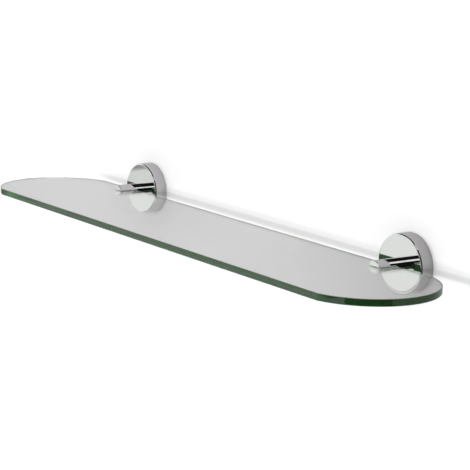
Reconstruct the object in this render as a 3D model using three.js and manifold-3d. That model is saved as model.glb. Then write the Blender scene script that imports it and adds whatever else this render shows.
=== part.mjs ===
// A wall shelf: a glass plate with rounded ends, held in the slots of two round chrome arms.
// Each arm stands on a round rosette, which covers a plate screwed to the wall.
// Millimetres. The origin lies on the wall's face, midway between the arms and level with their axes.
// +X runs along the shelf, +Y points into the wall and +Z is up.
import * as THREE from "three";
import { mergeVertices } from "three/addons/utils/BufferGeometryUtils.js";
import Module from "manifold-3d";

const wasm = await Module();
wasm.setup();

// Driving dimensions of the glass
const SHELF_LENGTH = 600;
const SHELF_DEPTH = 120;
const SHELF_THICKNESS = 6;
const END_RADIUS = 62; // of the arc that rounds each end
const GLASS_ARRIS = 0.5; // chamfer of the polished edge

// Driving dimensions of a bracket
const BRACKET_SPACING = 400;
const ROSETTE_DIAMETER = 56;
const ROSETTE_DEPTH = 13;
const ROSETTE_FACE_THICKNESS = 1.8;
const ROSETTE_RIM_THICKNESS = 1.6;
const ROSETTE_BEVEL = 0.8;
const ARM_DIAMETER = 16;
const ARM_LENGTH = 28; // from the rosette's face to the tip
const ARM_CHAMFER = 0.4;
const GLASS_SETBACK = 10; // from the rosette's face to the back edge of the glass
const CONTACT_GAP = 0.1; // left between two pieces that touch

// The soft liner between the arm and the glass
const LINER_THICKNESS = 0.4;
const LINER_WIDTH = 13.4;

// The spigot at the back of the arm, with one flat, and the screw that pulls it home
const SPIGOT_RADIUS = 4;
const SPIGOT_FLAT = 3; // from the axis to the flat
const SPIGOT_LENGTH = 1.5;
const ARM_SCREW_RADIUS = 2.4;
const ARM_SCREW_LENGTH = 9.5;
const ARM_SCREW_HEAD_RADIUS = 4.5;
const ARM_SCREW_HEAD_HEIGHT = 2.8;
const ARM_SCREW_HEAD_BEVEL = 0.9;
const WASHER_RADIUS = 5.4;
const WASHER_BORE_RADIUS = 2.7;
const WASHER_THICKNESS = 1;
const WASHER_SPLIT = 0.7;

// The wall plate: a dish with a V groove round its rim
const PLATE_RADIUS = 22.8;
const PLATE_HEIGHT = 8;
const PLATE_BASE_THICKNESS = 3;
const PLATE_RIM_THICKNESS = 3;
const PLATE_BORE_RADIUS = 7;
const GROOVE_DEPTH = 1.5;
const GROOVE_FROM_WALL = 5;
const PLATE_CLEARANCE = 0.3; // from the plate's rim to the ribs that centre the rosette

// The grub screws: one locks the rosette to the plate, the other clamps the glass
const GRUB_RADIUS = 2;
const GRUB_CLEARANCE = 0.1;
const GRUB_CHAMFER = 0.3;
const HEX_SOCKET_WIDTH = 2; // across the flats
const HEX_SOCKET_DEPTH = 1.8;
const SET_SCREW_RECESS = 0.4; // how far the set screw lies inside the rim
const SET_SCREW_TIP_RADIUS = 0.2;
const SET_SCREW_TIP_CLEARANCE = 0.4; // from the cone's tip to the bottom of the groove
const BOSS_WIDTH = 9;
const BOSS_LENGTH = 8;
const RIB_WIDTH = 3;
const RIB_ANGLE = 40; // degrees, from the top of the rosette to each locating rib
const CLAMP_SCREW_FROM_TIP = 9;
const CLAMP_SCREW_LENGTH = 4.1;

// The wall screws and their plugs
const WALL_SCREW_SPACING = 26;
const WALL_SCREW_LENGTH = 40;
const WALL_SCREW_RADIUS = 2.1;
const WALL_SCREW_HEAD_RADIUS = 4.4;
const WALL_SCREW_POINT_LENGTH = 6;
const WALL_HOLE_CLEARANCE = 0.3;
const HEAD_EDGE = 0.2; // straight edge round a countersunk head
const PLUG_RADIUS = 4;
const PLUG_BORE_RADIUS = 2.3;
const PLUG_LENGTH = 30;
const PLUG_COLLAR_LENGTH = 6; // the plain length in front of the barbs
const PLUG_DEPTH_IN_WALL = 2.5; // from the wall's face to the plug
const PLUG_BARBS = 4;
const PLUG_BARB_STEP = 0.5;
const PLUG_SLIT = 0.8;
const CROSS_RECESS_WIDTH = 1;
const CROSS_RECESS_SPAN = 4.6;
const CROSS_RECESS_DEPTH = 1.6;

// Facets round one turn
const ROSETTE_FACETS = 80;
const ARM_FACETS = 48;
const SCREW_FACETS = 20;
const END_ARC_FACETS = 28;

// Places along Y
const ROSETTE_FACE_Y = -ROSETTE_DEPTH;
const ROSETTE_INSIDE_Y = ROSETTE_FACE_Y + ROSETTE_FACE_THICKNESS;
const ARM_TIP_Y = ROSETTE_FACE_Y - ARM_LENGTH;
const GLASS_BACK_Y = ROSETTE_FACE_Y - GLASS_SETBACK;
const SLOT_END_Y = GLASS_BACK_Y + LINER_THICKNESS + 2 * CONTACT_GAP;
const SLOT_HEIGHT = SHELF_THICKNESS + 2 * LINER_THICKNESS + 4 * CONTACT_GAP;
const OVERCUT = 1; // how far a cutting tool reaches past the surface it cuts

const FINISHES = {
  glass: { color: 0xd3e0d8, roughness: 0.03, metalness: 0 },
  chrome: { color: 0xdcdcde, roughness: 0.06, metalness: 1 },
  zinc: { color: 0xa9abad, roughness: 0.45, metalness: 1 },
  steel: { color: 0x9c9ea2, roughness: 0.3, metalness: 1 },
  linerPlastic: { color: 0xe8e8e4, roughness: 0.5, metalness: 0 },
  plugPlastic: { color: 0x9a9c9e, roughness: 0.6, metalness: 0 },
};

function solidOf(geometry) {
  const bare = geometry.clone();
  bare.deleteAttribute("normal");
  bare.deleteAttribute("uv");
  const merged = mergeVertices(bare);
  return new wasm.Manifold(
    new wasm.Mesh({
      numProp: 3,
      vertProperties: new Float32Array(merged.attributes.position.array),
      triVerts: new Uint32Array(merged.index.array),
    }),
  );
}

function geometryOf(solid) {
  const { vertProperties, triVerts } = solid.getMesh();
  const geometry = new THREE.BufferGeometry();
  geometry.setAttribute("position", new THREE.BufferAttribute(vertProperties, 3));
  geometry.setIndex(new THREE.BufferAttribute(triVerts, 1));
  geometry.computeVertexNormals();
  return geometry;
}

function join(base, ...pieces) {
  return geometryOf(pieces.reduce((whole, piece) => whole.add(solidOf(piece)), solidOf(base)));
}

function cut(base, ...tools) {
  return geometryOf(tools.reduce((rest, tool) => rest.subtract(solidOf(tool)), solidOf(base)));
}

// A body turned about the Y axis, from [radius, y] points in anticlockwise order.
function turned(profile, facets) {
  return new THREE.LatheGeometry(
    profile.map(([radius, y]) => new THREE.Vector2(radius, y)),
    facets,
  );
}

function rod(radius, fromY, toY, facets) {
  return turned([[0, fromY], [radius, fromY], [radius, toY], [0, toY]], facets);
}

// A box between two corners.
function block([x0, y0, z0], [x1, y1, z1]) {
  return new THREE.BoxGeometry(x1 - x0, y1 - y0, z1 - z0).translate(
    (x0 + x1) / 2,
    (y0 + y1) / 2,
    (z0 + z1) / 2,
  );
}

// Turns a body made along Y so that it stands along Z.
function upright(geometry) {
  return geometry.rotateX(Math.PI / 2);
}

// The two bars of a cross recess, sunk into a head whose top is at headY. into is +1 or -1 along Y.
function crossRecess(headY, into) {
  const from = headY - into * OVERCUT;
  const to = headY + into * CROSS_RECESS_DEPTH;
  const [y0, y1] = [Math.min(from, to), Math.max(from, to)];
  const wide = CROSS_RECESS_SPAN / 2;
  const thin = CROSS_RECESS_WIDTH / 2;
  return join(block([-wide, y0, -thin], [wide, y1, thin]), block([-thin, y0, -wide], [thin, y1, wide]));
}

// A hexagonal socket that opens downwards, in a screw made along Y whose lower end is at endY.
function hexSocket(endY) {
  const radius = HEX_SOCKET_WIDTH / Math.sqrt(3);
  const height = HEX_SOCKET_DEPTH + OVERCUT;
  return new THREE.CylinderGeometry(radius, radius, height, 6).translate(
    0,
    endY + HEX_SOCKET_DEPTH - height / 2,
    0,
  );
}

function glassShelf() {
  const endCentreX = SHELF_LENGTH / 2 - END_RADIUS;
  const midY = GLASS_BACK_Y - SHELF_DEPTH / 2;
  const halfSweep = Math.asin(SHELF_DEPTH / 2 / END_RADIUS);
  const outline = new THREE.Shape();
  outline.absarc(endCentreX, midY, END_RADIUS, -halfSweep, halfSweep, false);
  outline.absarc(-endCentreX, midY, END_RADIUS, Math.PI - halfSweep, Math.PI + halfSweep, false);
  outline.closePath();
  return new THREE.ExtrudeGeometry(outline, {
    depth: SHELF_THICKNESS - 2 * GLASS_ARRIS,
    curveSegments: END_ARC_FACETS,
    bevelThickness: GLASS_ARRIS,
    bevelSize: GLASS_ARRIS,
    bevelOffset: -GLASS_ARRIS,
    bevelSegments: 1,
  }).translate(0, 0, GLASS_ARRIS - SHELF_THICKNESS / 2);
}

// A round bar along Y with one flat below its axis.
function flattedBar(radius, flat, fromY, toY) {
  return cut(
    rod(radius, fromY, toY, ARM_FACETS),
    block([-radius, fromY - OVERCUT, -radius - OVERCUT], [radius, toY + OVERCUT, -flat]),
  );
}

function rosette() {
  const radius = ROSETTE_DIAMETER / 2;
  const insideRadius = radius - ROSETTE_RIM_THICKNESS;
  const seatRadius = PLATE_RADIUS + PLATE_CLEARANCE;
  const cup = turned(
    [
      [0, ROSETTE_FACE_Y],
      [radius - ROSETTE_BEVEL, ROSETTE_FACE_Y],
      [radius, ROSETTE_FACE_Y + ROSETTE_BEVEL],
      [radius, 0],
      [insideRadius, 0],
      [insideRadius, ROSETTE_INSIDE_Y],
      [0, ROSETTE_INSIDE_Y],
    ],
    ROSETTE_FACETS,
  );
  const overlap = ROSETTE_RIM_THICKNESS / 2;
  const bossBackY = -GROOVE_FROM_WALL + BOSS_LENGTH / 2;
  const boss = block(
    [-BOSS_WIDTH / 2, ROSETTE_INSIDE_Y - overlap, -insideRadius - overlap / 2],
    [BOSS_WIDTH / 2, bossBackY, -seatRadius],
  );
  const ribs = [-RIB_ANGLE, RIB_ANGLE].map((degrees) =>
    block(
      [-RIB_WIDTH / 2, ROSETTE_INSIDE_Y - overlap, seatRadius],
      [RIB_WIDTH / 2, bossBackY, insideRadius + overlap],
    ).rotateY(THREE.MathUtils.degToRad(degrees)),
  );
  const spigotHole = flattedBar(
    SPIGOT_RADIUS + CONTACT_GAP,
    SPIGOT_FLAT + CONTACT_GAP,
    ROSETTE_FACE_Y - OVERCUT,
    ROSETTE_INSIDE_Y + OVERCUT,
  );
  const setScrewHole = upright(
    rod(GRUB_RADIUS + GRUB_CLEARANCE, -radius - OVERCUT, -seatRadius + OVERCUT, SCREW_FACETS),
  ).translate(0, -GROOVE_FROM_WALL, 0);
  return cut(join(cup, boss, ...ribs), spigotHole, setScrewHole);
}

function arm() {
  const radius = ARM_DIAMETER / 2;
  const seatY = ROSETTE_FACE_Y - CONTACT_GAP;
  const bar = turned(
    [
      [0, ARM_TIP_Y],
      [radius - ARM_CHAMFER, ARM_TIP_Y],
      [radius, ARM_TIP_Y + ARM_CHAMFER],
      [radius, seatY],
      [0, seatY],
    ],
    ARM_FACETS,
  );
  const spigot = flattedBar(
    SPIGOT_RADIUS,
    SPIGOT_FLAT,
    seatY - OVERCUT,
    ROSETTE_FACE_Y + SPIGOT_LENGTH,
  );
  const slot = block(
    [-radius - OVERCUT, ARM_TIP_Y - OVERCUT, -SLOT_HEIGHT / 2],
    [radius + OVERCUT, SLOT_END_Y, SLOT_HEIGHT / 2],
  );
  const screwHole = rod(
    ARM_SCREW_RADIUS + CONTACT_GAP,
    ROSETTE_INSIDE_Y - ARM_SCREW_LENGTH,
    ROSETTE_INSIDE_Y + OVERCUT,
    SCREW_FACETS,
  );
  const clampHole = upright(
    rod(GRUB_RADIUS + GRUB_CLEARANCE, -radius - OVERCUT, -OVERCUT, SCREW_FACETS),
  ).translate(0, ARM_TIP_Y + CLAMP_SCREW_FROM_TIP, 0);
  return cut(join(bar, spigot), slot, screwHole, clampHole);
}

// A channel with its web against the end of the slot.
function slotLiner() {
  const backY = SLOT_END_Y - CONTACT_GAP;
  const frontY = ARM_TIP_Y + ARM_CHAMFER;
  const outer = SLOT_HEIGHT / 2 - CONTACT_GAP;
  const inner = outer - LINER_THICKNESS;
  return cut(
    block([-LINER_WIDTH / 2, frontY, -outer], [LINER_WIDTH / 2, backY, outer]),
    block([-LINER_WIDTH, frontY - OVERCUT, -inner], [LINER_WIDTH, backY - LINER_THICKNESS, inner]),
  );
}

function clampScrew() {
  const topZ = -SLOT_HEIGHT / 2;
  const endZ = topZ - CLAMP_SCREW_LENGTH;
  const screw = turned(
    [
      [0, endZ],
      [GRUB_RADIUS - GRUB_CHAMFER, endZ],
      [GRUB_RADIUS, endZ + GRUB_CHAMFER],
      [GRUB_RADIUS, topZ - GRUB_CHAMFER],
      [GRUB_RADIUS - GRUB_CHAMFER, topZ],
      [0, topZ],
    ],
    SCREW_FACETS,
  );
  return upright(cut(screw, hexSocket(endZ))).translate(0, ARM_TIP_Y + CLAMP_SCREW_FROM_TIP, 0);
}

// Its cone points up into the groove of the wall plate.
function setScrew() {
  const endZ = -ROSETTE_DIAMETER / 2 + SET_SCREW_RECESS;
  const tipZ = -(PLATE_RADIUS - GROOVE_DEPTH + SET_SCREW_TIP_CLEARANCE);
  const screw = turned(
    [
      [0, endZ],
      [GRUB_RADIUS - GRUB_CHAMFER, endZ],
      [GRUB_RADIUS, endZ + GRUB_CHAMFER],
      [GRUB_RADIUS, tipZ - (GRUB_RADIUS - SET_SCREW_TIP_RADIUS)],
      [SET_SCREW_TIP_RADIUS, tipZ],
      [0, tipZ],
    ],
    SCREW_FACETS,
  );
  return upright(cut(screw, hexSocket(endZ))).translate(0, -GROOVE_FROM_WALL, 0);
}

function armScrew() {
  const underHeadY = ROSETTE_INSIDE_Y + WASHER_THICKNESS + 2 * CONTACT_GAP;
  const headY = underHeadY + ARM_SCREW_HEAD_HEIGHT;
  const pointY = ROSETTE_INSIDE_Y - ARM_SCREW_LENGTH + OVERCUT;
  const screw = turned(
    [
      [0, pointY],
      [ARM_SCREW_RADIUS - GRUB_CHAMFER, pointY],
      [ARM_SCREW_RADIUS, pointY + GRUB_CHAMFER],
      [ARM_SCREW_RADIUS, underHeadY],
      [ARM_SCREW_HEAD_RADIUS, underHeadY],
      [ARM_SCREW_HEAD_RADIUS, headY - ARM_SCREW_HEAD_BEVEL],
      [ARM_SCREW_HEAD_RADIUS - ARM_SCREW_HEAD_BEVEL, headY],
      [0, headY],
    ],
    SCREW_FACETS,
  );
  return cut(screw, crossRecess(headY, -1));
}

// A spring washer: a ring with a slit.
function armWasher() {
  const frontY = ROSETTE_INSIDE_Y + CONTACT_GAP;
  const backY = frontY + WASHER_THICKNESS;
  const ring = turned(
    [
      [WASHER_BORE_RADIUS, frontY],
      [WASHER_RADIUS, frontY],
      [WASHER_RADIUS, backY],
      [WASHER_BORE_RADIUS, backY],
      [WASHER_BORE_RADIUS, frontY],
    ],
    SCREW_FACETS,
  );
  return cut(
    ring,
    block([-WASHER_SPLIT / 2, frontY - OVERCUT, 0], [WASHER_SPLIT / 2, backY + OVERCUT, WASHER_RADIUS + OVERCUT]),
  );
}

const WALL_SCREW_PLACES = { upper: WALL_SCREW_SPACING / 2, lower: -WALL_SCREW_SPACING / 2 };

// The countersunk hole for a wall screw, as a cutting tool on the Y axis.
function countersink() {
  const mouth = WALL_SCREW_HEAD_RADIUS + WALL_HOLE_CLEARANCE;
  const hole = WALL_SCREW_RADIUS + WALL_HOLE_CLEARANCE;
  return turned(
    [
      [0, -PLATE_BASE_THICKNESS - OVERCUT],
      [mouth, -PLATE_BASE_THICKNESS - OVERCUT],
      [mouth, -PLATE_BASE_THICKNESS],
      [hole, -PLATE_BASE_THICKNESS + mouth - hole],
      [hole, OVERCUT],
      [0, OVERCUT],
    ],
    SCREW_FACETS,
  );
}

function wallPlate() {
  const dishRadius = PLATE_RADIUS - PLATE_RIM_THICKNESS;
  const dish = turned(
    [
      [PLATE_BORE_RADIUS, -PLATE_BASE_THICKNESS],
      [dishRadius, -PLATE_BASE_THICKNESS],
      [dishRadius, -PLATE_HEIGHT],
      [PLATE_RADIUS, -PLATE_HEIGHT],
      [PLATE_RADIUS, -GROOVE_FROM_WALL - GROOVE_DEPTH],
      [PLATE_RADIUS - GROOVE_DEPTH, -GROOVE_FROM_WALL],
      [PLATE_RADIUS, -GROOVE_FROM_WALL + GROOVE_DEPTH],
      [PLATE_RADIUS, 0],
      [PLATE_BORE_RADIUS, 0],
      [PLATE_BORE_RADIUS, -PLATE_BASE_THICKNESS],
    ],
    ARM_FACETS,
  );
  return cut(dish, ...Object.values(WALL_SCREW_PLACES).map((z) => countersink().translate(0, 0, z)));
}

function wallScrew() {
  const headY = -PLATE_BASE_THICKNESS + CONTACT_GAP;
  const pointY = headY + WALL_SCREW_LENGTH;
  const screw = turned(
    [
      [0, headY],
      [WALL_SCREW_HEAD_RADIUS, headY],
      [WALL_SCREW_HEAD_RADIUS, headY + HEAD_EDGE],
      [WALL_SCREW_RADIUS, headY + HEAD_EDGE + WALL_SCREW_HEAD_RADIUS - WALL_SCREW_RADIUS],
      [WALL_SCREW_RADIUS, pointY - WALL_SCREW_POINT_LENGTH],
      [0, pointY],
    ],
    SCREW_FACETS,
  );
  return cut(screw, crossRecess(headY, 1));
}

// A tube with barbs, slit along its inner half so that it can spread.
function wallPlug() {
  const frontY = PLUG_DEPTH_IN_WALL;
  const backY = frontY + PLUG_LENGTH;
  const pitch = (PLUG_LENGTH - PLUG_COLLAR_LENGTH) / PLUG_BARBS;
  const firstBarbY = frontY + PLUG_COLLAR_LENGTH;
  const barbs = Array.from({ length: PLUG_BARBS }, (_, i) => [
    [PLUG_RADIUS, firstBarbY + i * pitch],
    [PLUG_RADIUS - PLUG_BARB_STEP, firstBarbY + i * pitch],
  ]).flat();
  const tube = turned(
    [
      [PLUG_BORE_RADIUS, frontY],
      [PLUG_RADIUS, frontY],
      ...barbs,
      [PLUG_RADIUS - PLUG_BARB_STEP, backY],
      [PLUG_BORE_RADIUS, backY],
      [PLUG_BORE_RADIUS, frontY],
    ],
    SCREW_FACETS,
  );
  const slit = block(
    [-PLUG_RADIUS - OVERCUT, (frontY + backY) / 2, -PLUG_SLIT / 2],
    [PLUG_RADIUS + OVERCUT, backY + OVERCUT, PLUG_SLIT / 2],
  );
  return cut(tube, slit);
}

function mesh(name, geometry, finish) {
  const made = new THREE.Mesh(geometry, new THREE.MeshStandardMaterial(FINISHES[finish]));
  made.name = name;
  return made;
}

function bracket(side, x) {
  const group = new THREE.Group();
  group.position.x = x;
  group.add(
    mesh(`${side}_rosette`, rosette(), "chrome"),
    mesh(`${side}_arm`, arm(), "chrome"),
    mesh(`${side}_slot_liner`, slotLiner(), "linerPlastic"),
    mesh(`${side}_clamp_screw`, clampScrew(), "steel"),
    mesh(`${side}_arm_washer`, armWasher(), "steel"),
    mesh(`${side}_arm_screw`, armScrew(), "steel"),
    mesh(`${side}_set_screw`, setScrew(), "steel"),
    mesh(`${side}_wall_plate`, wallPlate(), "zinc"),
  );
  for (const [place, z] of Object.entries(WALL_SCREW_PLACES)) {
    const screw = mesh(`${side}_${place}_wall_screw`, wallScrew(), "steel");
    const plug = mesh(`${side}_${place}_wall_plug`, wallPlug(), "plugPlastic");
    screw.position.z = z;
    plug.position.z = z;
    group.add(screw, plug);
  }
  return group;
}

const wallShelf = new THREE.Group();
wallShelf.add(
  mesh("glass_shelf", glassShelf(), "glass"),
  bracket("left", -BRACKET_SPACING / 2),
  bracket("right", BRACKET_SPACING / 2),
);

export default wallShelf;
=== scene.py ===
import math

import bmesh
import bpy
from mathutils import Matrix, Vector


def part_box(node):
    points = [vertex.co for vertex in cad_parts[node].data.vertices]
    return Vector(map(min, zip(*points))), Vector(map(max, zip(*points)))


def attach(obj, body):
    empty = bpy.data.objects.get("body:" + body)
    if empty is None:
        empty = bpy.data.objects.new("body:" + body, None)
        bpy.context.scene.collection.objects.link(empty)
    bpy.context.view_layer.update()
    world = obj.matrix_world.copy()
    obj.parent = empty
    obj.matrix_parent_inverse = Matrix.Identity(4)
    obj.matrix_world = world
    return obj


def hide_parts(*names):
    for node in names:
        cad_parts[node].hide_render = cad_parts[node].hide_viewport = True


MM = 0.001

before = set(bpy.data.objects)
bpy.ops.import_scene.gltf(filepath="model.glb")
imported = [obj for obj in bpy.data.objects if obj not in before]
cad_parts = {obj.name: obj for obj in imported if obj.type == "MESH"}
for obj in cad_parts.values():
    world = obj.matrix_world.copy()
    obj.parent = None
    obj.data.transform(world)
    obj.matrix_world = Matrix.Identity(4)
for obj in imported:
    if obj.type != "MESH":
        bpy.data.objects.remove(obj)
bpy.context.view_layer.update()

# ---------------------------------------------------------------- camera

CAMERA_PLACE = Vector((1.2426, -0.9390, 0.2986))
CAMERA_YAW = math.radians(54.050)  # from +Y towards -X
CAMERA_PITCH = math.radians(11.269)  # downwards
CAMERA_ROLL = math.radians(1.960)
CAMERA_SENSOR = 36.0
CAMERA_LENS = 130.66


def make_camera():
    camera = bpy.data.objects.new("camera", bpy.data.cameras.new("camera"))
    bpy.context.scene.collection.objects.link(camera)
    camera.data.sensor_width = CAMERA_SENSOR
    camera.data.lens = CAMERA_LENS
    camera.data.clip_start = 0.05
    camera.data.clip_end = 50
    camera.location = CAMERA_PLACE
    cosine = math.cos(CAMERA_PITCH)
    forward = Vector(
        (-math.sin(CAMERA_YAW) * cosine, math.cos(CAMERA_YAW) * cosine, -math.sin(CAMERA_PITCH))
    )
    level = Vector((math.cos(CAMERA_YAW), math.sin(CAMERA_YAW), 0))
    above = level.cross(forward)
    right = math.cos(CAMERA_ROLL) * level + math.sin(CAMERA_ROLL) * above
    up = math.cos(CAMERA_ROLL) * above - math.sin(CAMERA_ROLL) * level
    camera.rotation_mode = "QUATERNION"
    camera.rotation_quaternion = Matrix((right, up, -forward)).transposed().to_quaternion()
    bpy.context.scene.camera = camera


make_camera()

# ---------------------------------------------------------------- materials


NOISE_ROUGHNESS = 0.55
BLOTCHES = (0.3, 0.7)  # the part of a noise's range that most of it falls in


class Nodes:
    """A material's node tree, with short calls to add and join nodes."""

    def __init__(self, tree):
        self.tree = tree
        tree.nodes.clear()

    def add(self, kind, **settings):
        node = self.tree.nodes.new(kind)
        for key, value in settings.items():
            setattr(node, key, value)
        return node

    def link(self, out, into):
        self.tree.links.new(out, into)

    def noise(self, scale, detail, stretch=(1, 1, 1)):
        place = self.add("ShaderNodeTexCoord")
        mapping = self.add("ShaderNodeMapping")
        mapping.inputs["Scale"].default_value = stretch
        noise = self.add("ShaderNodeTexNoise")
        noise.inputs["Scale"].default_value = scale
        noise.inputs["Detail"].default_value = detail
        noise.inputs["Roughness"].default_value = NOISE_ROUGHNESS
        self.link(place.outputs["Object"], mapping.inputs["Vector"])
        self.link(mapping.outputs["Vector"], noise.inputs["Vector"])
        return noise.outputs["Fac"]

    def ramp(self, value, low, high, start=0.0, end=1.0):
        """value from start to end becomes low to high."""
        node = self.add("ShaderNodeMapRange")
        node.inputs["From Min"].default_value = start
        node.inputs["From Max"].default_value = end
        node.inputs["To Min"].default_value = low
        node.inputs["To Max"].default_value = high
        self.link(value, node.inputs["Value"])
        return node.outputs["Result"]

    def tint(self, value, start, end):
        """The colour start where value is 0 and end where it is 1."""
        node = self.add("ShaderNodeMix", data_type="RGBA")
        for colour, socket in ((start, node.inputs[6]), (end, node.inputs[7])):
            if isinstance(colour, tuple):
                socket.default_value = (*colour, 1)
            else:
                self.link(colour, socket)
        self.link(value, node.inputs[0])
        return node.outputs[2]

    def maths(self, operation, *values):
        node = self.add("ShaderNodeMath", operation=operation)
        for value, socket in zip(values, node.inputs):
            if isinstance(value, float):
                socket.default_value = value
            else:
                self.link(value, socket)
        return node.outputs[0]

    def bump(self, height, distance, strength=1.0):
        node = self.add("ShaderNodeBump")
        node.inputs["Strength"].default_value = strength
        node.inputs["Distance"].default_value = distance
        self.link(height, node.inputs["Height"])
        return node.outputs["Normal"]


def new_material(name):
    material = bpy.data.materials.new(name)
    material.use_nodes = True
    return material, Nodes(material.node_tree)


def surface(nodes, **values):
    shader = nodes.add("ShaderNodeBsdfPrincipled")
    for key, value in values.items():
        shader.inputs[key.replace("_", " ")].default_value = value
    out = nodes.add("ShaderNodeOutputMaterial")
    nodes.link(shader.outputs[0], out.inputs["Surface"])
    return shader, out


def chrome_material():
    material, nodes = new_material("polished_chrome")
    shader, _ = surface(nodes, Metallic=1.0)
    haze = nodes.noise(160, detail=6)
    nodes.link(nodes.tint(haze, (0.66, 0.66, 0.66), (0.70, 0.70, 0.695)), shader.inputs["Base Color"])
    nodes.link(nodes.ramp(haze, 0.025, 0.06, *BLOTCHES), shader.inputs["Roughness"])
    polish = nodes.noise(900, detail=3)
    nodes.link(nodes.bump(polish, 0.0000004), shader.inputs["Normal"])
    return material


def zinc_material():
    material, nodes = new_material("cast_zinc")
    shader, _ = surface(nodes, Metallic=1.0)
    clouds = nodes.noise(120, detail=6)
    nodes.link(nodes.tint(clouds, (0.42, 0.43, 0.44), (0.60, 0.61, 0.62)), shader.inputs["Base Color"])
    nodes.link(nodes.ramp(clouds, 0.36, 0.55, *BLOTCHES), shader.inputs["Roughness"])
    grain = nodes.noise(1800, detail=2)
    nodes.link(nodes.bump(grain, 0.00004, 0.7), shader.inputs["Normal"])
    return material


def steel_material():
    material, nodes = new_material("plated_steel")
    shader, _ = surface(nodes, Metallic=1.0)
    patina = nodes.noise(260, detail=5)
    nodes.link(nodes.tint(patina, (0.45, 0.46, 0.49), (0.62, 0.63, 0.65)), shader.inputs["Base Color"])
    nodes.link(nodes.ramp(patina, 0.2, 0.36, *BLOTCHES), shader.inputs["Roughness"])
    marks = nodes.noise(1400, detail=3, stretch=(1, 0.1, 1))
    nodes.link(nodes.bump(marks, 0.000015, 0.6), shader.inputs["Normal"])
    return material


def liner_material():
    material, nodes = new_material("liner_plastic")
    shader, _ = surface(nodes, IOR=1.5, Subsurface_Weight=0.3, Subsurface_Scale=0.001)
    milk = nodes.noise(300, detail=3)
    nodes.link(nodes.tint(milk, (0.70, 0.71, 0.69), (0.82, 0.83, 0.81)), shader.inputs["Base Color"])
    nodes.link(nodes.ramp(milk, 0.3, 0.42), shader.inputs["Roughness"])
    nodes.link(nodes.bump(nodes.noise(1500, detail=2), 0.00001, 0.5), shader.inputs["Normal"])
    return material


def plug_material():
    material, nodes = new_material("plug_nylon")
    shader, _ = surface(nodes, IOR=1.53)
    mottle = nodes.noise(200, detail=4)
    nodes.link(nodes.tint(mottle, (0.27, 0.28, 0.29), (0.36, 0.37, 0.38)), shader.inputs["Base Color"])
    nodes.link(nodes.ramp(mottle, 0.42, 0.58), shader.inputs["Roughness"])
    nodes.link(nodes.bump(nodes.noise(1600, detail=3), 0.00003, 0.6), shader.inputs["Normal"])
    return material


GLASS_IOR = 1.52
GLASS_COLOUR = (0.25, 0.56, 0.26)
GLASS_DENSITY = 14.0
POLISHED_EDGE = (0.15, 0.41, 0.17)
POLISHED_CLEAR = 0.95
# the arrises and the edge that faces the wall: a dark green painted shade and low clearness, partly
# their ground finish
GROUND_EDGE_SHADED = (0.10, 0.17, 0.09)
GROUND_SHADED_CLEAR = 0.2
GROUND_SPECULAR = 0.1
GLASS_SPECULAR = 0.5
GLASS_HAZE = 0.004
EDGE_TILT = (0.4, 0.95)  # the upright part of the normal, from a full edge to a full face
ARRIS_TILT = math.sqrt(0.5)
ARRIS_RANGE = 0.15
WALLWARD_TILT = (0.4, 0.9)  # the part of the normal towards the wall, from polished to a ground edge with painted shade


def glass_material():
    """Clear with polished edges; the arrises and the edge that faces the wall are ground, and darkened
    with painted shade.
    """
    material, nodes = new_material("float_glass")
    shader, out = surface(nodes, IOR=GLASS_IOR)
    facing = nodes.add("ShaderNodeNewGeometry")
    split = nodes.add("ShaderNodeSeparateXYZ")
    nodes.link(facing.outputs["True Normal"], split.inputs[0])
    upright = nodes.maths("ABSOLUTE", split.outputs["Z"])
    edge = nodes.ramp(upright, 1, 0, *EDGE_TILT)
    arris = nodes.maths("COMPARE", upright, ARRIS_TILT, ARRIS_RANGE)
    outward = nodes.ramp(facing.outputs["Backfacing"], 1.0, -1.0)
    wallward = nodes.maths("MULTIPLY", split.outputs["Y"], outward)
    # where the glass is ground and also gets painted shade: the arrises and the edge that faces the
    # wall
    ground_and_shade = nodes.maths("MAXIMUM", nodes.ramp(wallward, 0, 1, *WALLWARD_TILT), arris)
    colour = nodes.tint(ground_and_shade, nodes.tint(edge, (1, 1, 1), POLISHED_EDGE), GROUND_EDGE_SHADED)
    clear_edge = nodes.ramp(edge, 1.0, POLISHED_CLEAR)
    clear = nodes.maths("MULTIPLY", clear_edge, nodes.ramp(ground_and_shade, 1.0, GROUND_SHADED_CLEAR))
    nodes.link(colour, shader.inputs["Base Color"])
    nodes.link(clear, shader.inputs["Transmission Weight"])
    specular = nodes.ramp(ground_and_shade, GLASS_SPECULAR, GROUND_SPECULAR)
    nodes.link(specular, shader.inputs["Specular IOR Level"])
    haze = nodes.noise(40, detail=4)
    nodes.link(nodes.ramp(haze, 0.0, GLASS_HAZE, 0.35, 0.65), shader.inputs["Roughness"])
    absorb = nodes.add("ShaderNodeVolumeAbsorption")
    absorb.inputs["Color"].default_value = (*GLASS_COLOUR, 1)
    absorb.inputs["Density"].default_value = GLASS_DENSITY
    nodes.link(absorb.outputs[0], out.inputs["Volume"])
    return material


CHROME = chrome_material()
ZINC = zinc_material()
STEEL = steel_material()
LINER = liner_material()
PLUG = plug_material()
GLASS = glass_material()

# ---------------------------------------------------------------- mesh helpers

SHARP = math.radians(32)
MERGE = 1e-7


def add_object(name, mesh):
    made = bpy.data.objects.new(name, mesh)
    bpy.context.scene.collection.objects.link(made)
    return made


def finish_mesh(bm, name):
    """Turns bm into an object, smooth except where its faces meet sharply."""
    bmesh.ops.remove_doubles(bm, verts=bm.verts, dist=MERGE)
    bmesh.ops.recalc_face_normals(bm, faces=bm.faces)
    for face in bm.faces:
        face.smooth = True
    for edge in bm.edges:
        edge.smooth = len(edge.link_faces) == 2 and edge.calc_face_angle(0) < SHARP
    mesh = bpy.data.meshes.new(name)
    bm.to_mesh(mesh)
    bm.free()
    return add_object(name, mesh)


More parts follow.
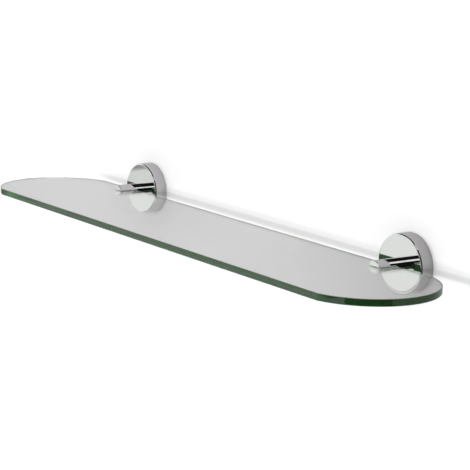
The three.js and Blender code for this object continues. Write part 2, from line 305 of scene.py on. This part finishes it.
def turned(profile, segments, closed=False, relief=None):
    """A bmesh turned about the Y axis, from (radius, y) points.

    relief(radius, y, angle) adds to a radius.
    """
    bm = bmesh.new()
    angles = [2 * math.pi * i / segments for i in range(segments)]
    rings = []
    for radius, y in profile:
        if radius < 1e-9:
            rings.append([bm.verts.new((0, y, 0))])
            continue
        ring = []
        for angle in angles:
            r = radius + (relief(radius, y, angle) if relief else 0)
            ring.append(bm.verts.new((r * math.cos(angle), y, r * math.sin(angle))))
        rings.append(ring)
    pairs = list(zip(rings, rings[1:]))
    if closed:
        pairs.append((rings[-1], rings[0]))
    for one, two in pairs:
        for i in range(segments):
            j = i + 1
            corners = [one[i % len(one)], one[j % len(one)], two[j % len(two)], two[i % len(two)]]
            corners = list(dict.fromkeys(corners))
            if len(corners) > 2:
                bm.faces.new(corners)
    return bm


def block(low, high, taper=1.0):
    """A box between two corners. taper narrows its +Y end."""
    bm = bmesh.new()
    bmesh.ops.create_cube(bm, size=1)
    low, high = Vector(low), Vector(high)
    middle = (low + high) / 2
    for vert in bm.verts:
        share = taper if vert.co.y > 0 else 1.0
        vert.co = Vector(c * (b - a) for c, a, b in zip(vert.co, low, high))
        vert.co.x *= share
        vert.co.z *= share
        vert.co += middle
    return bm


def rounded_corners(points, softness, closed=False):
    """The same profile, with each corner between two straight sides rounded a little."""
    count = len(points)
    if closed:
        corners = [(points[i - 1], points[i], points[(i + 1) % count]) for i in range(count)]
    else:
        corners = list(zip(points, points[1:], points[2:]))
    rounded = [] if closed else [points[0]]
    for before, corner, after in corners:
        corner = Vector(corner)
        back, on = Vector(before) - corner, Vector(after) - corner
        reach = min(softness, back.length / 3, on.length / 3)
        start, end = corner + back.normalized() * reach, corner + on.normalized() * reach
        for t in (0.0, 0.5, 1.0):
            rounded.append(tuple(start * (1 - t) ** 2 + corner * 2 * t * (1 - t) + end * t * t))
    if not closed:
        rounded.append(points[-1])
    return rounded


def arc(centre, radius, start, end, steps):
    """Points (radius, y) of an arc about centre, between two angles in degrees."""
    angles = [math.radians(start + (end - start) * i / steps) for i in range(steps + 1)]
    return [(centre[0] + radius * math.cos(a), centre[1] + radius * math.sin(a)) for a in angles]


def rod(radius, start, end, segments=48):
    return turned([(0, start), (radius, start), (radius, end), (0, end)], segments)


UPRIGHT = Matrix.Rotation(math.radians(90), 4, "X")  # stands a body made along Y up along Z


def moved(bm, matrix):
    bmesh.ops.transform(bm, matrix=matrix, verts=bm.verts)
    return bm


def combine(base, others, operation):
    """base with the other bmeshes joined to it or cut from it."""
    def scratch(bm):
        bmesh.ops.recalc_face_normals(bm, faces=bm.faces)
        mesh = bpy.data.meshes.new("scratch")
        bm.to_mesh(mesh)
        bm.free()
        return add_object("scratch", mesh)

    whole = scratch(base)
    tools = [scratch(bm) for bm in others]
    for tool in tools:
        step = whole.modifiers.new("step", "BOOLEAN")
        step.operation = operation
        step.object = tool
        step.solver = "MANIFOLD"
    result = bpy.data.meshes.new_from_object(whole.evaluated_get(bpy.context.evaluated_depsgraph_get()))
    bm = bmesh.new()
    bm.from_mesh(result)
    for made in [whole, *tools]:
        bpy.data.objects.remove(made)
    bpy.data.meshes.remove(result)
    return bm


def joined(base, *others):
    return combine(base, others, "UNION")


def cut(base, *tools):
    return combine(base, tools, "DIFFERENCE")


def settle(bm, name, body, node, material):
    """Finishes a piece, gives it its material and its body, and hides the CAD node that it stands in
    for.
    """
    piece = finish_mesh(bm, name)
    piece.data.materials.append(material)
    normals = piece.modifiers.new("even_normals", "WEIGHTED_NORMAL")
    normals.keep_sharp = True
    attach(piece, body)
    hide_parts(node)


# ---------------------------------------------------------------- the glass

END_RADIUS = 62 * MM
ARRIS = 0.5 * MM
END_STEPS = 72
ARRIS_SOFT = 0.12 * ARRIS


def glass_outline(inset):
    low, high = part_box("glass_shelf")
    half_length, half_depth = (high.x - low.x) / 2, (high.y - low.y) / 2
    middle = (high.y + low.y) / 2
    centre = half_length - END_RADIUS
    radius = END_RADIUS - inset
    sweep = math.asin((half_depth - inset) / radius)
    points = []
    for side in (1, -1):
        for i in range(END_STEPS + 1):
            a = sweep * (2 * i / END_STEPS - 1)
            x = side * (centre + radius * math.cos(a))
            points.append((x, middle + side * radius * math.sin(a)))
    return points


def make_glass():
    low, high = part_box("glass_shelf")
    soft, sag = ARRIS_SOFT, 0.4 * ARRIS_SOFT
    levels = [(ARRIS + soft, low.z), (ARRIS - soft, low.z + sag)]
    levels += [(sag, low.z + ARRIS - soft), (0, low.z + ARRIS + soft)]
    levels += [(inset, high.z + low.z - z) for inset, z in reversed(levels)]
    bm = bmesh.new()
    rings = [[bm.verts.new((x, y, z)) for x, y in glass_outline(inset)] for inset, z in levels]
    count = len(rings[0])
    for one, two in zip(rings, rings[1:]):
        for i in range(count):
            j = (i + 1) % count
            bm.faces.new((one[i], one[j], two[j], two[i]))
    bm.faces.new(rings[0][::-1])
    bm.faces.new(rings[-1])
    settle(bm, "shelf_glass", "shelf", "glass_shelf", GLASS)


make_glass()

# ---------------------------------------------------------------- the brackets

ROUND = 192  # facets round a chrome body
SMALL_ROUND = 48
GAP = 0.1 * MM  # between two pieces that touch
OVERCUT = 1 * MM  # how far a cutting tool reaches past the surface it cuts
SOFT_EDGE = 0.12 * MM
CAST_EDGE = 0.25 * MM
ARM_EDGE = 0.1 * MM
WASHER_EDGE = 0.15 * MM

FACE_WALL = 1.8 * MM
RIM_WALL = 1.6 * MM
RIM_FILLET = 1.6 * MM
RIM_FILLET_STEPS = 10
SEAT_RADIUS = 23.1 * MM  # of the ribs and the boss that centre the rosette on its plate
BOSS_HALF_WIDTH = 4.5 * MM
RIB_HALF_WIDTH = 1.5 * MM
RIB_ANGLE = math.radians(40)
SEAT_BACK_Y = -1 * MM
LOCK_Y = -5 * MM  # of the set screw and the plate's groove

SPIGOT_RADIUS = 4 * MM
SPIGOT_FLAT = 3 * MM
ARM_CHAMFER = 0.4 * MM
SLOT_HALF = 3.6 * MM
SLOT_END_Y = -22.4 * MM
ARM_BORE = 2.5 * MM
ARM_BORE_DEPTH = 9.5 * MM
CLAMP_FROM_TIP = 9 * MM
LINER_WALL = 0.4 * MM
LINER_BEVEL = 0.08 * MM

ARM_SCREW_RADIUS = 2.4 * MM
ARM_SCREW_HEAD = 2.8 * MM
ARM_SCREW_CROWN = 0.9 * MM  # radius of the head's rounded edge
ARM_SCREW_CROWN_STEPS = 5
ARM_SCREW_PLAIN = 1 * MM  # from under the head to the thread
ARM_SCREW_PITCH = 0.8 * MM
ARM_SCREW_THREAD = 0.3 * MM
SCREW_END = 0.3 * MM  # chamfer at the end of a machine screw
WASHER_BORE = 2.7 * MM
WASHER_SPLIT = 0.7 * MM

GRUB_RADIUS = 2 * MM
GRUB_BORE = 2.1 * MM
GRUB_TIP = 0.2 * MM
GRUB_PITCH = 0.7 * MM
GRUB_THREAD = 0.22 * MM
THREAD_ROWS = 6  # of vertices, in one turn
THREAD_STEEPNESS = 1.4
HEXAGON = 6
SOCKET_WIDTH = 2 * MM  # across the flats
SOCKET_DEPTH = 1.8 * MM

PLATE_BASE = 3 * MM
PLATE_RIM = 3 * MM
PLATE_BORE = 7 * MM
GROOVE = 1.5 * MM
WALL_SCREW_FROM_AXIS = 13 * MM
SCREW_HEAD_RADIUS = 4.4 * MM
SCREW_RADIUS = 2.1 * MM
HEAD_EDGE = 0.2 * MM
HOLE_CLEARANCE = 0.3 * MM
CROSS_SPAN = 4.6 * MM
CROSS_WIDTH = 1 * MM
CROSS_DEPTH = 1.6 * MM
CROSS_TAPER = 0.55
SHANK_RADIUS = 1.75 * MM
PLAIN_SHANK = 8 * MM  # from under the head to the thread
SCREW_POINT = 6 * MM
WALL_SCREW_PITCH = 2 * MM
WALL_SCREW_THREAD = 0.35 * MM

PLUG_BORE = 2.3 * MM
PLUG_COLLAR = 6 * MM
PLUG_BARBS = 4
PLUG_BARB_STEP = 0.5 * MM
PLUG_SLIT = 0.8 * MM


def axis_of(node):
    """Where a node made about the Y axis has that axis."""
    low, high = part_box(node)
    return Vector(((low.x + high.x) / 2, 0, (low.z + high.z) / 2))


def thread(start, end, pitch, depth):
    """A relief that winds a V thread round a shank, and the heights that it needs."""
    count = round((end - start) / pitch * THREAD_ROWS)

    def relief(radius, y, angle):
        if not start + pitch / 2 < y < end - pitch / 2:
            return 0
        phase = ((y - start) / pitch - angle / (2 * math.pi)) % 1
        return -depth * min(1, abs(2 * phase - 1) * THREAD_STEEPNESS)

    return relief, [start + (end - start) * i / count for i in range(count + 1)]


def socket(face_y):
    """A hexagonal socket sunk from face_y towards +Y."""
    radius = SOCKET_WIDTH / math.sqrt(3)
    return rod(radius, face_y - OVERCUT, face_y + SOCKET_DEPTH, segments=HEXAGON)


def cross_recess(head_y, into):
    """The two tapered bars of a cross recess, as one cutting tool that points along +Y or -Y."""
    low_y, high_y, span, width = -OVERCUT, CROSS_DEPTH, CROSS_SPAN / 2, CROSS_WIDTH / 2
    wide = block((-span, low_y, -width), (span, high_y, width), CROSS_TAPER)
    tall = block((-width, low_y, -span), (width, high_y, span), CROSS_TAPER)
    tool = joined(wide, tall)
    turn = Matrix.Identity(4) if into > 0 else Matrix.Rotation(math.pi, 4, "Z")
    return moved(tool, Matrix.Translation((0, head_y, 0)) @ turn)


def flatted(radius, flat, start, end):
    """A round bar along Y with one flat below its axis."""
    waste = block((-radius, start - OVERCUT, -radius - OVERCUT), (radius, end + OVERCUT, -flat))
    return cut(rod(radius, start, end), waste)


def make_rosette(side):
    node = f"{side}_rosette"
    low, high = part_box(node)
    radius, face = (high.x - low.x) / 2, low.y
    inside, inner_face = radius - RIM_WALL, low.y + FACE_WALL
    fillet = (radius - RIM_FILLET, face + RIM_FILLET)
    profile = [(0, face), *arc(fillet, RIM_FILLET, -90, 0, RIM_FILLET_STEPS)]
    profile += rounded_corners([(radius, face + 2 * RIM_FILLET), (radius, 0), (inside, 0)], SOFT_EDGE)
    profile += [(inside, inner_face), (0, inner_face)]
    overlap = RIM_WALL / 2
    root = inner_face - overlap
    boss_low = (-BOSS_HALF_WIDTH, root, -inside - overlap / 2)
    boss = block(boss_low, (BOSS_HALF_WIDTH, SEAT_BACK_Y, -SEAT_RADIUS))
    ribs = []
    for angle in (-RIB_ANGLE, RIB_ANGLE):
        rib_high = (RIB_HALF_WIDTH, SEAT_BACK_Y, inside + overlap)
        rib = block((-RIB_HALF_WIDTH, root, SEAT_RADIUS), rib_high)
        ribs.append(moved(rib, Matrix.Rotation(angle, 4, "Y")))
    lock_hole = rod(GRUB_BORE, -radius - OVERCUT, OVERCUT - SEAT_RADIUS)
    moved(lock_hole, Matrix.Translation((0, LOCK_Y, 0)) @ UPRIGHT)
    spigot_hole = flatted(SPIGOT_RADIUS + GAP, SPIGOT_FLAT + GAP, face - OVERCUT, inner_face + OVERCUT)
    shell = cut(joined(turned(profile, ROUND), boss, *ribs), lock_hole, spigot_hole)
    moved(shell, Matrix.Translation(axis_of(node)))
    settle(shell, f"{side}_rosette_shell", "brackets", node, CHROME)
    return face, inner_face


def make_arm(side, face, inner_face):
    node = f"{side}_arm"
    low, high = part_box(node)
    radius, tip, shoulder = (high.x - low.x) / 2, low.y, face - GAP
    profile = [(0, tip), (radius - ARM_CHAMFER, tip), (radius, tip + ARM_CHAMFER)]
    profile += [(radius, shoulder), (0, shoulder)]
    bar = turned(rounded_corners(profile, ARM_EDGE), ROUND)
    spigot = flatted(SPIGOT_RADIUS, SPIGOT_FLAT, shoulder - OVERCUT, high.y)
    slot = block((-2 * radius, tip - OVERCUT, -SLOT_HALF), (2 * radius, SLOT_END_Y, SLOT_HALF))
    bore = rod(ARM_BORE, inner_face - ARM_BORE_DEPTH, high.y + OVERCUT)
    clamp_place = Matrix.Translation((0, tip + CLAMP_FROM_TIP, 0))
    clamp_bore = moved(rod(GRUB_BORE, -radius - OVERCUT, -OVERCUT), clamp_place @ UPRIGHT)
    bar = cut(joined(bar, spigot), slot, bore, clamp_bore)
    moved(bar, Matrix.Translation(axis_of(node)))
    settle(bar, f"{side}_arm_bar", "brackets", node, CHROME)


def make_liner(side):
    node = f"{side}_slot_liner"
    low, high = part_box(node)
    leg_end, web = low.y, high.y - LINER_WALL
    outer, inner = high.z, high.z - LINER_WALL
    outline = [(leg_end, -outer), (high.y, -outer), (high.y, outer), (leg_end, outer)]
    outline += [(leg_end, inner), (web, inner), (web, -inner), (leg_end, -inner)]
    bm = bmesh.new()
    ends = [[bm.verts.new((x, y, z)) for y, z in outline] for x in (low.x, high.x)]
    count = len(outline)
    for i in range(count):
        j = (i + 1) % count
        bm.faces.new((ends[0][i], ends[0][j], ends[1][j], ends[1][i]))
    bm.faces.new(ends[0][::-1])
    bm.faces.new(ends[1])
    edges = bm.edges[:]
    bmesh.ops.bevel(bm, geom=edges, offset=LINER_BEVEL, segments=2, profile=0.5, affect="EDGES")
    settle(bm, f"{side}_liner_channel", "brackets", node, LINER)


def make_grub_screw(side, kind, body, cone):
    """A socket grub screw, made along Y with its socket at the lower end and then stood up."""
    node = f"{side}_{kind}_screw"
    low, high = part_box(node)
    shank_top = high.z - (GRUB_RADIUS - GRUB_TIP if cone else SCREW_END)
    relief, heights = thread(low.z + SCREW_END, shank_top, GRUB_PITCH, GRUB_THREAD)
    profile = [(0, low.z), (GRUB_RADIUS - SCREW_END, low.z), *((GRUB_RADIUS, y) for y in heights)]
    profile += [(GRUB_TIP if cone else GRUB_RADIUS - SCREW_END, high.z), (0, high.z)]
    screw = cut(turned(profile, SMALL_ROUND, relief=relief), socket(low.z))
    place = Vector(((low.x + high.x) / 2, (low.y + high.y) / 2, 0))
    moved(screw, Matrix.Translation(place) @ UPRIGHT)
    settle(screw, f"{node}_threaded", body, node, STEEL)


def make_arm_screw(side):
    node = f"{side}_arm_screw"
    low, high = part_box(node)
    head_radius = (high.x - low.x) / 2
    under_head = high.y - ARM_SCREW_HEAD
    start, end = low.y + SCREW_END, under_head - ARM_SCREW_PLAIN
    relief, heights = thread(start, end, ARM_SCREW_PITCH, ARM_SCREW_THREAD)
    profile = [(0, low.y), (ARM_SCREW_RADIUS - SCREW_END, low.y)]
    profile += [*((ARM_SCREW_RADIUS, y) for y in heights), (ARM_SCREW_RADIUS, under_head)]
    crown = (head_radius - ARM_SCREW_CROWN, high.y - ARM_SCREW_CROWN)
    profile += [(head_radius, under_head)]
    profile += [*arc(crown, ARM_SCREW_CROWN, 0, 90, ARM_SCREW_CROWN_STEPS), (0, high.y)]
    screw = cut(turned(profile, SMALL_ROUND, relief=relief), cross_recess(high.y, -1))
    moved(screw, Matrix.Translation(axis_of(node)))
    settle(screw, f"{node}_threaded", "brackets", node, STEEL)


def make_washer(side):
    node = f"{side}_arm_washer"
    low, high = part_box(node)
    radius = (high.x - low.x) / 2
    ring = [(WASHER_BORE, low.y), (radius, low.y), (radius, high.y), (WASHER_BORE, high.y)]
    ring = rounded_corners(ring, WASHER_EDGE, closed=True)
    slit_low = (-WASHER_SPLIT / 2, low.y - OVERCUT, 0)
    slit = block(slit_low, (WASHER_SPLIT / 2, high.y + OVERCUT, radius + OVERCUT))
    washer = cut(turned(ring, SMALL_ROUND, closed=True), slit)
    moved(washer, Matrix.Translation(((low.x + high.x) / 2, 0, 0)))
    settle(washer, f"{side}_spring_washer", "brackets", node, STEEL)


def make_wall_plate(side):
    node = f"{side}_wall_plate"
    low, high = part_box(node)
    radius = (high.x - low.x) / 2
    dish = radius - PLATE_RIM
    profile = [(PLATE_BORE, -PLATE_BASE), (dish, -PLATE_BASE), (dish, low.y), (radius, low.y)]
    profile += [(radius, LOCK_Y - GROOVE), (radius - GROOVE, LOCK_Y), (radius, LOCK_Y + GROOVE)]
    profile += [(radius, 0), (PLATE_BORE, 0)]
    mouth, hole = SCREW_HEAD_RADIUS + HOLE_CLEARANCE, SCREW_RADIUS + HOLE_CLEARANCE
    sink = [(0, -PLATE_BASE - OVERCUT), (mouth, -PLATE_BASE - OVERCUT), (mouth, -PLATE_BASE)]
    sink += [(hole, -PLATE_BASE + mouth - hole), (hole, OVERCUT), (0, OVERCUT)]
    holes = []
    for z in (WALL_SCREW_FROM_AXIS, -WALL_SCREW_FROM_AXIS):
        holes.append(moved(turned(sink, SMALL_ROUND), Matrix.Translation((0, 0, z))))
    profile = rounded_corners(profile, CAST_EDGE, closed=True)
    plate = cut(turned(profile, ROUND // 2, closed=True), *holes)
    moved(plate, Matrix.Translation(axis_of(node)))
    settle(plate, f"{side}_fixing_plate", "brackets", node, ZINC)


def make_wall_screw(side, place):
    node = f"{side}_{place}_wall_screw"
    low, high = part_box(node)
    head, point = low.y, high.y
    neck = head + HEAD_EDGE + SCREW_HEAD_RADIUS - SHANK_RADIUS
    start, end = neck + PLAIN_SHANK, point - SCREW_POINT
    relief, heights = thread(start, end, WALL_SCREW_PITCH, -WALL_SCREW_THREAD)

    def crest(radius, y, angle):
        groove = relief(radius, y, angle)
        return WALL_SCREW_THREAD - groove if groove else 0

    profile = [(0, head), (SCREW_HEAD_RADIUS, head), (SCREW_HEAD_RADIUS, head + HEAD_EDGE)]
    profile += [(SHANK_RADIUS, neck), *((SHANK_RADIUS, y) for y in heights), (0, point)]
    screw = cut(turned(profile, SMALL_ROUND // 2, relief=crest), cross_recess(head, 1))
    moved(screw, Matrix.Translation(axis_of(node)))
    settle(screw, f"{node}_threaded", "brackets", node, STEEL)


def make_wall_plug(side, place):
    node = f"{side}_{place}_wall_plug"
    low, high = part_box(node)
    radius = (high.x - low.x) / 2
    core = radius - PLUG_BARB_STEP
    pitch = (high.y - low.y - PLUG_COLLAR) / PLUG_BARBS
    profile = [(PLUG_BORE, low.y), (radius, low.y)]
    for i in range(PLUG_BARBS):
        y = low.y + PLUG_COLLAR + i * pitch
        profile += [(radius, y), (core, y)]
    profile += [(core, high.y), (PLUG_BORE, high.y)]
    slit_low = (-radius - OVERCUT, (low.y + high.y) / 2, -PLUG_SLIT / 2)
    slit = block(slit_low, (radius + OVERCUT, high.y + OVERCUT, PLUG_SLIT / 2))
    profile = rounded_corners(profile, SOFT_EDGE, closed=True)
    plug = cut(turned(profile, SMALL_ROUND, closed=True), slit)
    moved(plug, Matrix.Translation(axis_of(node)))
    settle(plug, f"{side}_{place}_barbed_plug", "brackets", node, PLUG)


def make_bracket(side):
    face, inner_face = make_rosette(side)
    make_arm(side, face, inner_face)
    make_liner(side)
    make_grub_screw(side, "clamp", f"{side}_clamp", cone=False)
    make_grub_screw(side, "set", f"{side}_lock", cone=True)
    make_arm_screw(side)
    make_washer(side)
    make_wall_plate(side)
    for place in ("upper", "lower"):
        make_wall_screw(side, place)
        make_wall_plug(side, place)


for bracket_side in ("left", "right"):
    make_bracket(bracket_side)

# ---------------------------------------------------------------- stage

WALL_Y = 0.0002
WALL_EDGE = 2.5
WALL_TOP = 1.6
WALL_PAINT = 0.82
WALL_REFLECTED = (0.570, 0.550, 0.568)
WALL_LEFT_SHADE = 0.875  # what is left of the reflected colour at the low end of WALL_LEFT_SPAN
WALL_LEFT_SPAN = (-0.45, 0.0)
WALL_LEAN = -2.0  # how far the second shade's edge leans: X per Z
WALL_LEAN_SHADE = 0.64  # what is left of the colour at the high end of WALL_LEAN_SPAN
WALL_LEAN_SPAN = (0.0, 0.3)
CONTACT = 1e-3
CONTACT_GLOW = 0.6

FLOOR_Z = -0.62
FLOOR_EDGE = 3.2
FLOOR_FRONT = -3.5
FLOOR_REAR = 0.6
SKIRTING_TOP = -0.29
SKIRTING_FOOT = -0.545

# The softbox, and the flags round it that are black in reflections
OVERHEAD_Z = 1.27
SOFTBOX_LEFT = 0.28
SOFTBOX_RIGHT = 0.85
SOFTBOX_FRONT = -1.45
SOFTBOX_REAR = -0.6
FLAGS_LEFT = -1.6
FLAGS_RIGHT = 2.2
FLAGS_FRONT = -2.2
FLAGS_REAR = -0.02
SCREEN_Y = -2.5
SCREEN_FOOT = -0.55
SIDE_X = 1.9
SIDE_FOOT = -0.6
SIDE_TOP = 1.2
LEFT_FOOT = 0.86
LEFT_REAR = -0.3
FRONT_LEFT = -1.0
SCREEN_LEFT = -0.5
SCREEN_RIGHT = 1.4
RIGHT_FRONT = (0.9, -1.6)

SKIRTING_GLOW = 0.33
SKIRTING_FOOT_GLOW = 0.7
SOFTBOX_GLOW = 1.55
BLACK = 0.01
DIM = 0.22
FLOOR_GLOW = 1.07
ROOM_GLOW = 1.16
AMBIENT = 1.03
BACKDROP = 1.05

KEY_POWER = 19.0
KEY_WIDTH = 2.2
KEY_HEIGHT = 0.10
KEY_DISTANCE = 3.0
KEY_LEVEL = -0.035
KEY_SPREAD = 0.06


def emission(nodes, strength):
    node = nodes.add("ShaderNodeEmission")
    node.inputs["Strength"].default_value = strength
    return node.outputs[0]


def wall_material():
    """Pale where the camera sees it, duller in reflections, and clear from behind.

    To what lies flat against it, it glows, so that the back of a bracket isn't black.
    """
    material, nodes = new_material("wall_paint")
    path = nodes.add("ShaderNodeLightPath")
    back = nodes.add("ShaderNodeNewGeometry")
    place = nodes.add("ShaderNodeTexCoord")
    split = nodes.add("ShaderNodeSeparateXYZ")
    nodes.link(place.outputs["Object"], split.inputs[0])
    lean = nodes.maths("MULTIPLY_ADD", split.outputs["Z"], WALL_LEAN, split.outputs["X"])
    left = nodes.ramp(split.outputs["X"], WALL_LEFT_SHADE, 1.0, *WALL_LEFT_SPAN)
    right = nodes.ramp(lean, 1.0, WALL_LEAN_SHADE, *WALL_LEAN_SPAN)
    shade = nodes.maths("MULTIPLY", left, right)
    seen = nodes.add("ShaderNodeBsdfDiffuse")
    seen.inputs["Color"].default_value = (WALL_PAINT, WALL_PAINT, WALL_PAINT, 1)
    reflected = nodes.add("ShaderNodeBsdfDiffuse")
    nodes.link(nodes.tint(shade, (0, 0, 0), WALL_REFLECTED), reflected.inputs["Color"])
    clear = nodes.add("ShaderNodeBsdfTransparent")
    choose = nodes.add("ShaderNodeMixShader")
    nodes.link(path.outputs["Is Camera Ray"], choose.inputs[0])
    nodes.link(reflected.outputs[0], choose.inputs[1])
    nodes.link(seen.outputs[0], choose.inputs[2])
    behind = nodes.add("ShaderNodeMixShader")
    nodes.link(nodes.maths("LESS_THAN", path.outputs["Ray Length"], CONTACT), behind.inputs[0])
    nodes.link(choose.outputs[0], behind.inputs[1])
    nodes.link(emission(nodes, CONTACT_GLOW), behind.inputs[2])
    one_sided = nodes.add("ShaderNodeMixShader")
    nodes.link(back.outputs["Backfacing"], one_sided.inputs[0])
    nodes.link(behind.outputs[0], one_sided.inputs[1])
    nodes.link(clear.outputs[0], one_sided.inputs[2])
    out = nodes.add("ShaderNodeOutputMaterial")
    nodes.link(one_sided.outputs[0], out.inputs["Surface"])
    return material


def by_ray(nodes, seen, lighting, reflected):
    """One look for the camera, one for lighting diffuse surfaces and one for reflections."""
    path = nodes.add("ShaderNodeLightPath")
    result = reflected
    for kind, look in (("Is Diffuse Ray", lighting), ("Is Camera Ray", seen)):
        choose = nodes.add("ShaderNodeMixShader")
        nodes.link(path.outputs[kind], choose.inputs[0])
        nodes.link(result, choose.inputs[1])
        nodes.link(look, choose.inputs[2])
        result = choose.outputs[0]
    return result


def glow_material(name, seen, lighting, reflected):
    material, nodes = new_material(name)
    look = by_ray(nodes, emission(nodes, seen), emission(nodes, lighting), emission(nodes, reflected))
    out = nodes.add("ShaderNodeOutputMaterial")
    nodes.link(look, out.inputs["Surface"])
    return material


def panel(name, corners, material):
    bm = bmesh.new()
    bm.faces.new([bm.verts.new(c) for c in corners])
    mesh = bpy.data.meshes.new(name)
    bm.to_mesh(mesh)
    bm.free()
    made = add_object(name, mesh)
    mesh.materials.append(material)
    return made


def lying(left, right, front, rear, z):
    return [(left, front, z), (right, front, z), (right, rear, z), (left, rear, z)]


def overhead(left, right, front, rear):
    return lying(left, right, front, rear, OVERHEAD_Z)


def standing(start, end, first, last):
    """The corners of an upright panel along two (x, y) points, from one height to another."""
    return [(*start, first), (*end, first), (*end, last), (*start, last)]


def card(name, corners, glow, through_glass=False):
    """A panel that shows only in reflections, and through the glass only if asked."""
    made = panel(name, corners, glow_material(name, glow, glow, glow))
    made.visible_camera = False
    made.visible_transmission = through_glass
    made.visible_diffuse = False
    made.visible_shadow = False


def make_stage():
    wall = standing((WALL_EDGE, WALL_Y), (-WALL_EDGE, WALL_Y), WALL_TOP, FLOOR_Z)
    panel("wall", wall, wall_material())
    floor = lying(-FLOOR_EDGE, FLOOR_EDGE, FLOOR_FRONT, FLOOR_REAR, FLOOR_Z)
    panel("floor", floor, glow_material("floor_paint", BACKDROP, AMBIENT, FLOOR_GLOW))
    near, far = (-FLOOR_EDGE, FLOOR_FRONT), (-FLOOR_EDGE, FLOOR_REAR)
    skirting = standing(near, far, SKIRTING_FOOT, SKIRTING_TOP)
    card("skirting", skirting, SKIRTING_GLOW, through_glass=True)
    skirting_foot = standing(near, far, FLOOR_Z, SKIRTING_FOOT)
    card("skirting_foot", skirting_foot, SKIRTING_FOOT_GLOW, through_glass=True)

    end = (SIDE_X, SOFTBOX_REAR)
    before = [(x, SCREEN_Y) for x in (FRONT_LEFT, SCREEN_LEFT, SCREEN_RIGHT)]
    left = (FLAGS_LEFT, LEFT_REAR), (FLAGS_LEFT, FLAGS_FRONT)
    cards = (
        ("softbox", overhead(SOFTBOX_LEFT, SOFTBOX_RIGHT, SOFTBOX_FRONT, SOFTBOX_REAR), SOFTBOX_GLOW),
        ("flag_above", overhead(FLAGS_LEFT, SOFTBOX_LEFT, FLAGS_FRONT, FLAGS_REAR), BLACK),
        ("flag_behind", overhead(SOFTBOX_LEFT, FLAGS_RIGHT, SOFTBOX_REAR, FLAGS_REAR), BLACK),
        ("flag_beside", overhead(SOFTBOX_RIGHT, FLAGS_RIGHT, FLAGS_FRONT, SOFTBOX_REAR), BLACK),
        ("flag_before", overhead(SOFTBOX_LEFT, SOFTBOX_RIGHT, SCREEN_Y, SOFTBOX_FRONT), BLACK),
        ("flag_end", standing(end, (SIDE_X, FLAGS_REAR), SIDE_FOOT, SIDE_TOP), BLACK),
        ("flag_left", standing(*left, LEFT_FOOT, OVERHEAD_Z), BLACK),
        ("flag_front", standing(before[0], before[1], SCREEN_FOOT, OVERHEAD_Z), BLACK),
        ("screen_front", standing(before[1], before[2], SCREEN_FOOT, OVERHEAD_Z), DIM),
        ("flag_right", standing(RIGHT_FRONT, end, SIDE_FOOT, SIDE_TOP), BLACK),
    )
    for name, corners, glow in cards:
        card(name, corners, glow)


def make_lights():
    """Two strips level with the shelf, which set the narrow soft band of shadow behind it."""
    for name, height in (("upper_key", KEY_LEVEL + KEY_SPREAD), ("lower_key", KEY_LEVEL - KEY_SPREAD)):
        key = bpy.data.objects.new(name, bpy.data.lights.new(name, "AREA"))
        bpy.context.scene.collection.objects.link(key)
        key.data.shape = "RECTANGLE"
        key.data.size, key.data.size_y = KEY_WIDTH, KEY_HEIGHT
        key.data.energy = KEY_POWER
        key.location = (0, -KEY_DISTANCE, height)
        key.rotation_euler = (math.radians(90), 0, 0)
        key.visible_camera = False
        key.visible_glossy = False
        key.visible_transmission = False


def make_world():
    world = bpy.data.worlds.new("studio")
    bpy.context.scene.world = world
    world.use_nodes = True
    nodes = Nodes(world.node_tree)
    glows = []
    for strength in (BACKDROP, AMBIENT, ROOM_GLOW):
        background = nodes.add("ShaderNodeBackground")
        background.inputs["Color"].default_value = (1, 1, 1, 1)
        background.inputs["Strength"].default_value = strength
        glows.append(background.outputs[0])
    out = nodes.add("ShaderNodeOutputWorld")
    nodes.link(by_ray(nodes, *glows), out.inputs["Surface"])


make_stage()
make_lights()
make_world()

scene = bpy.context.scene
scene.view_settings.view_transform = "Standard"
scene.cycles.max_bounces = 40
scene.cycles.glossy_bounces = 32
scene.cycles.transmission_bounces = 32
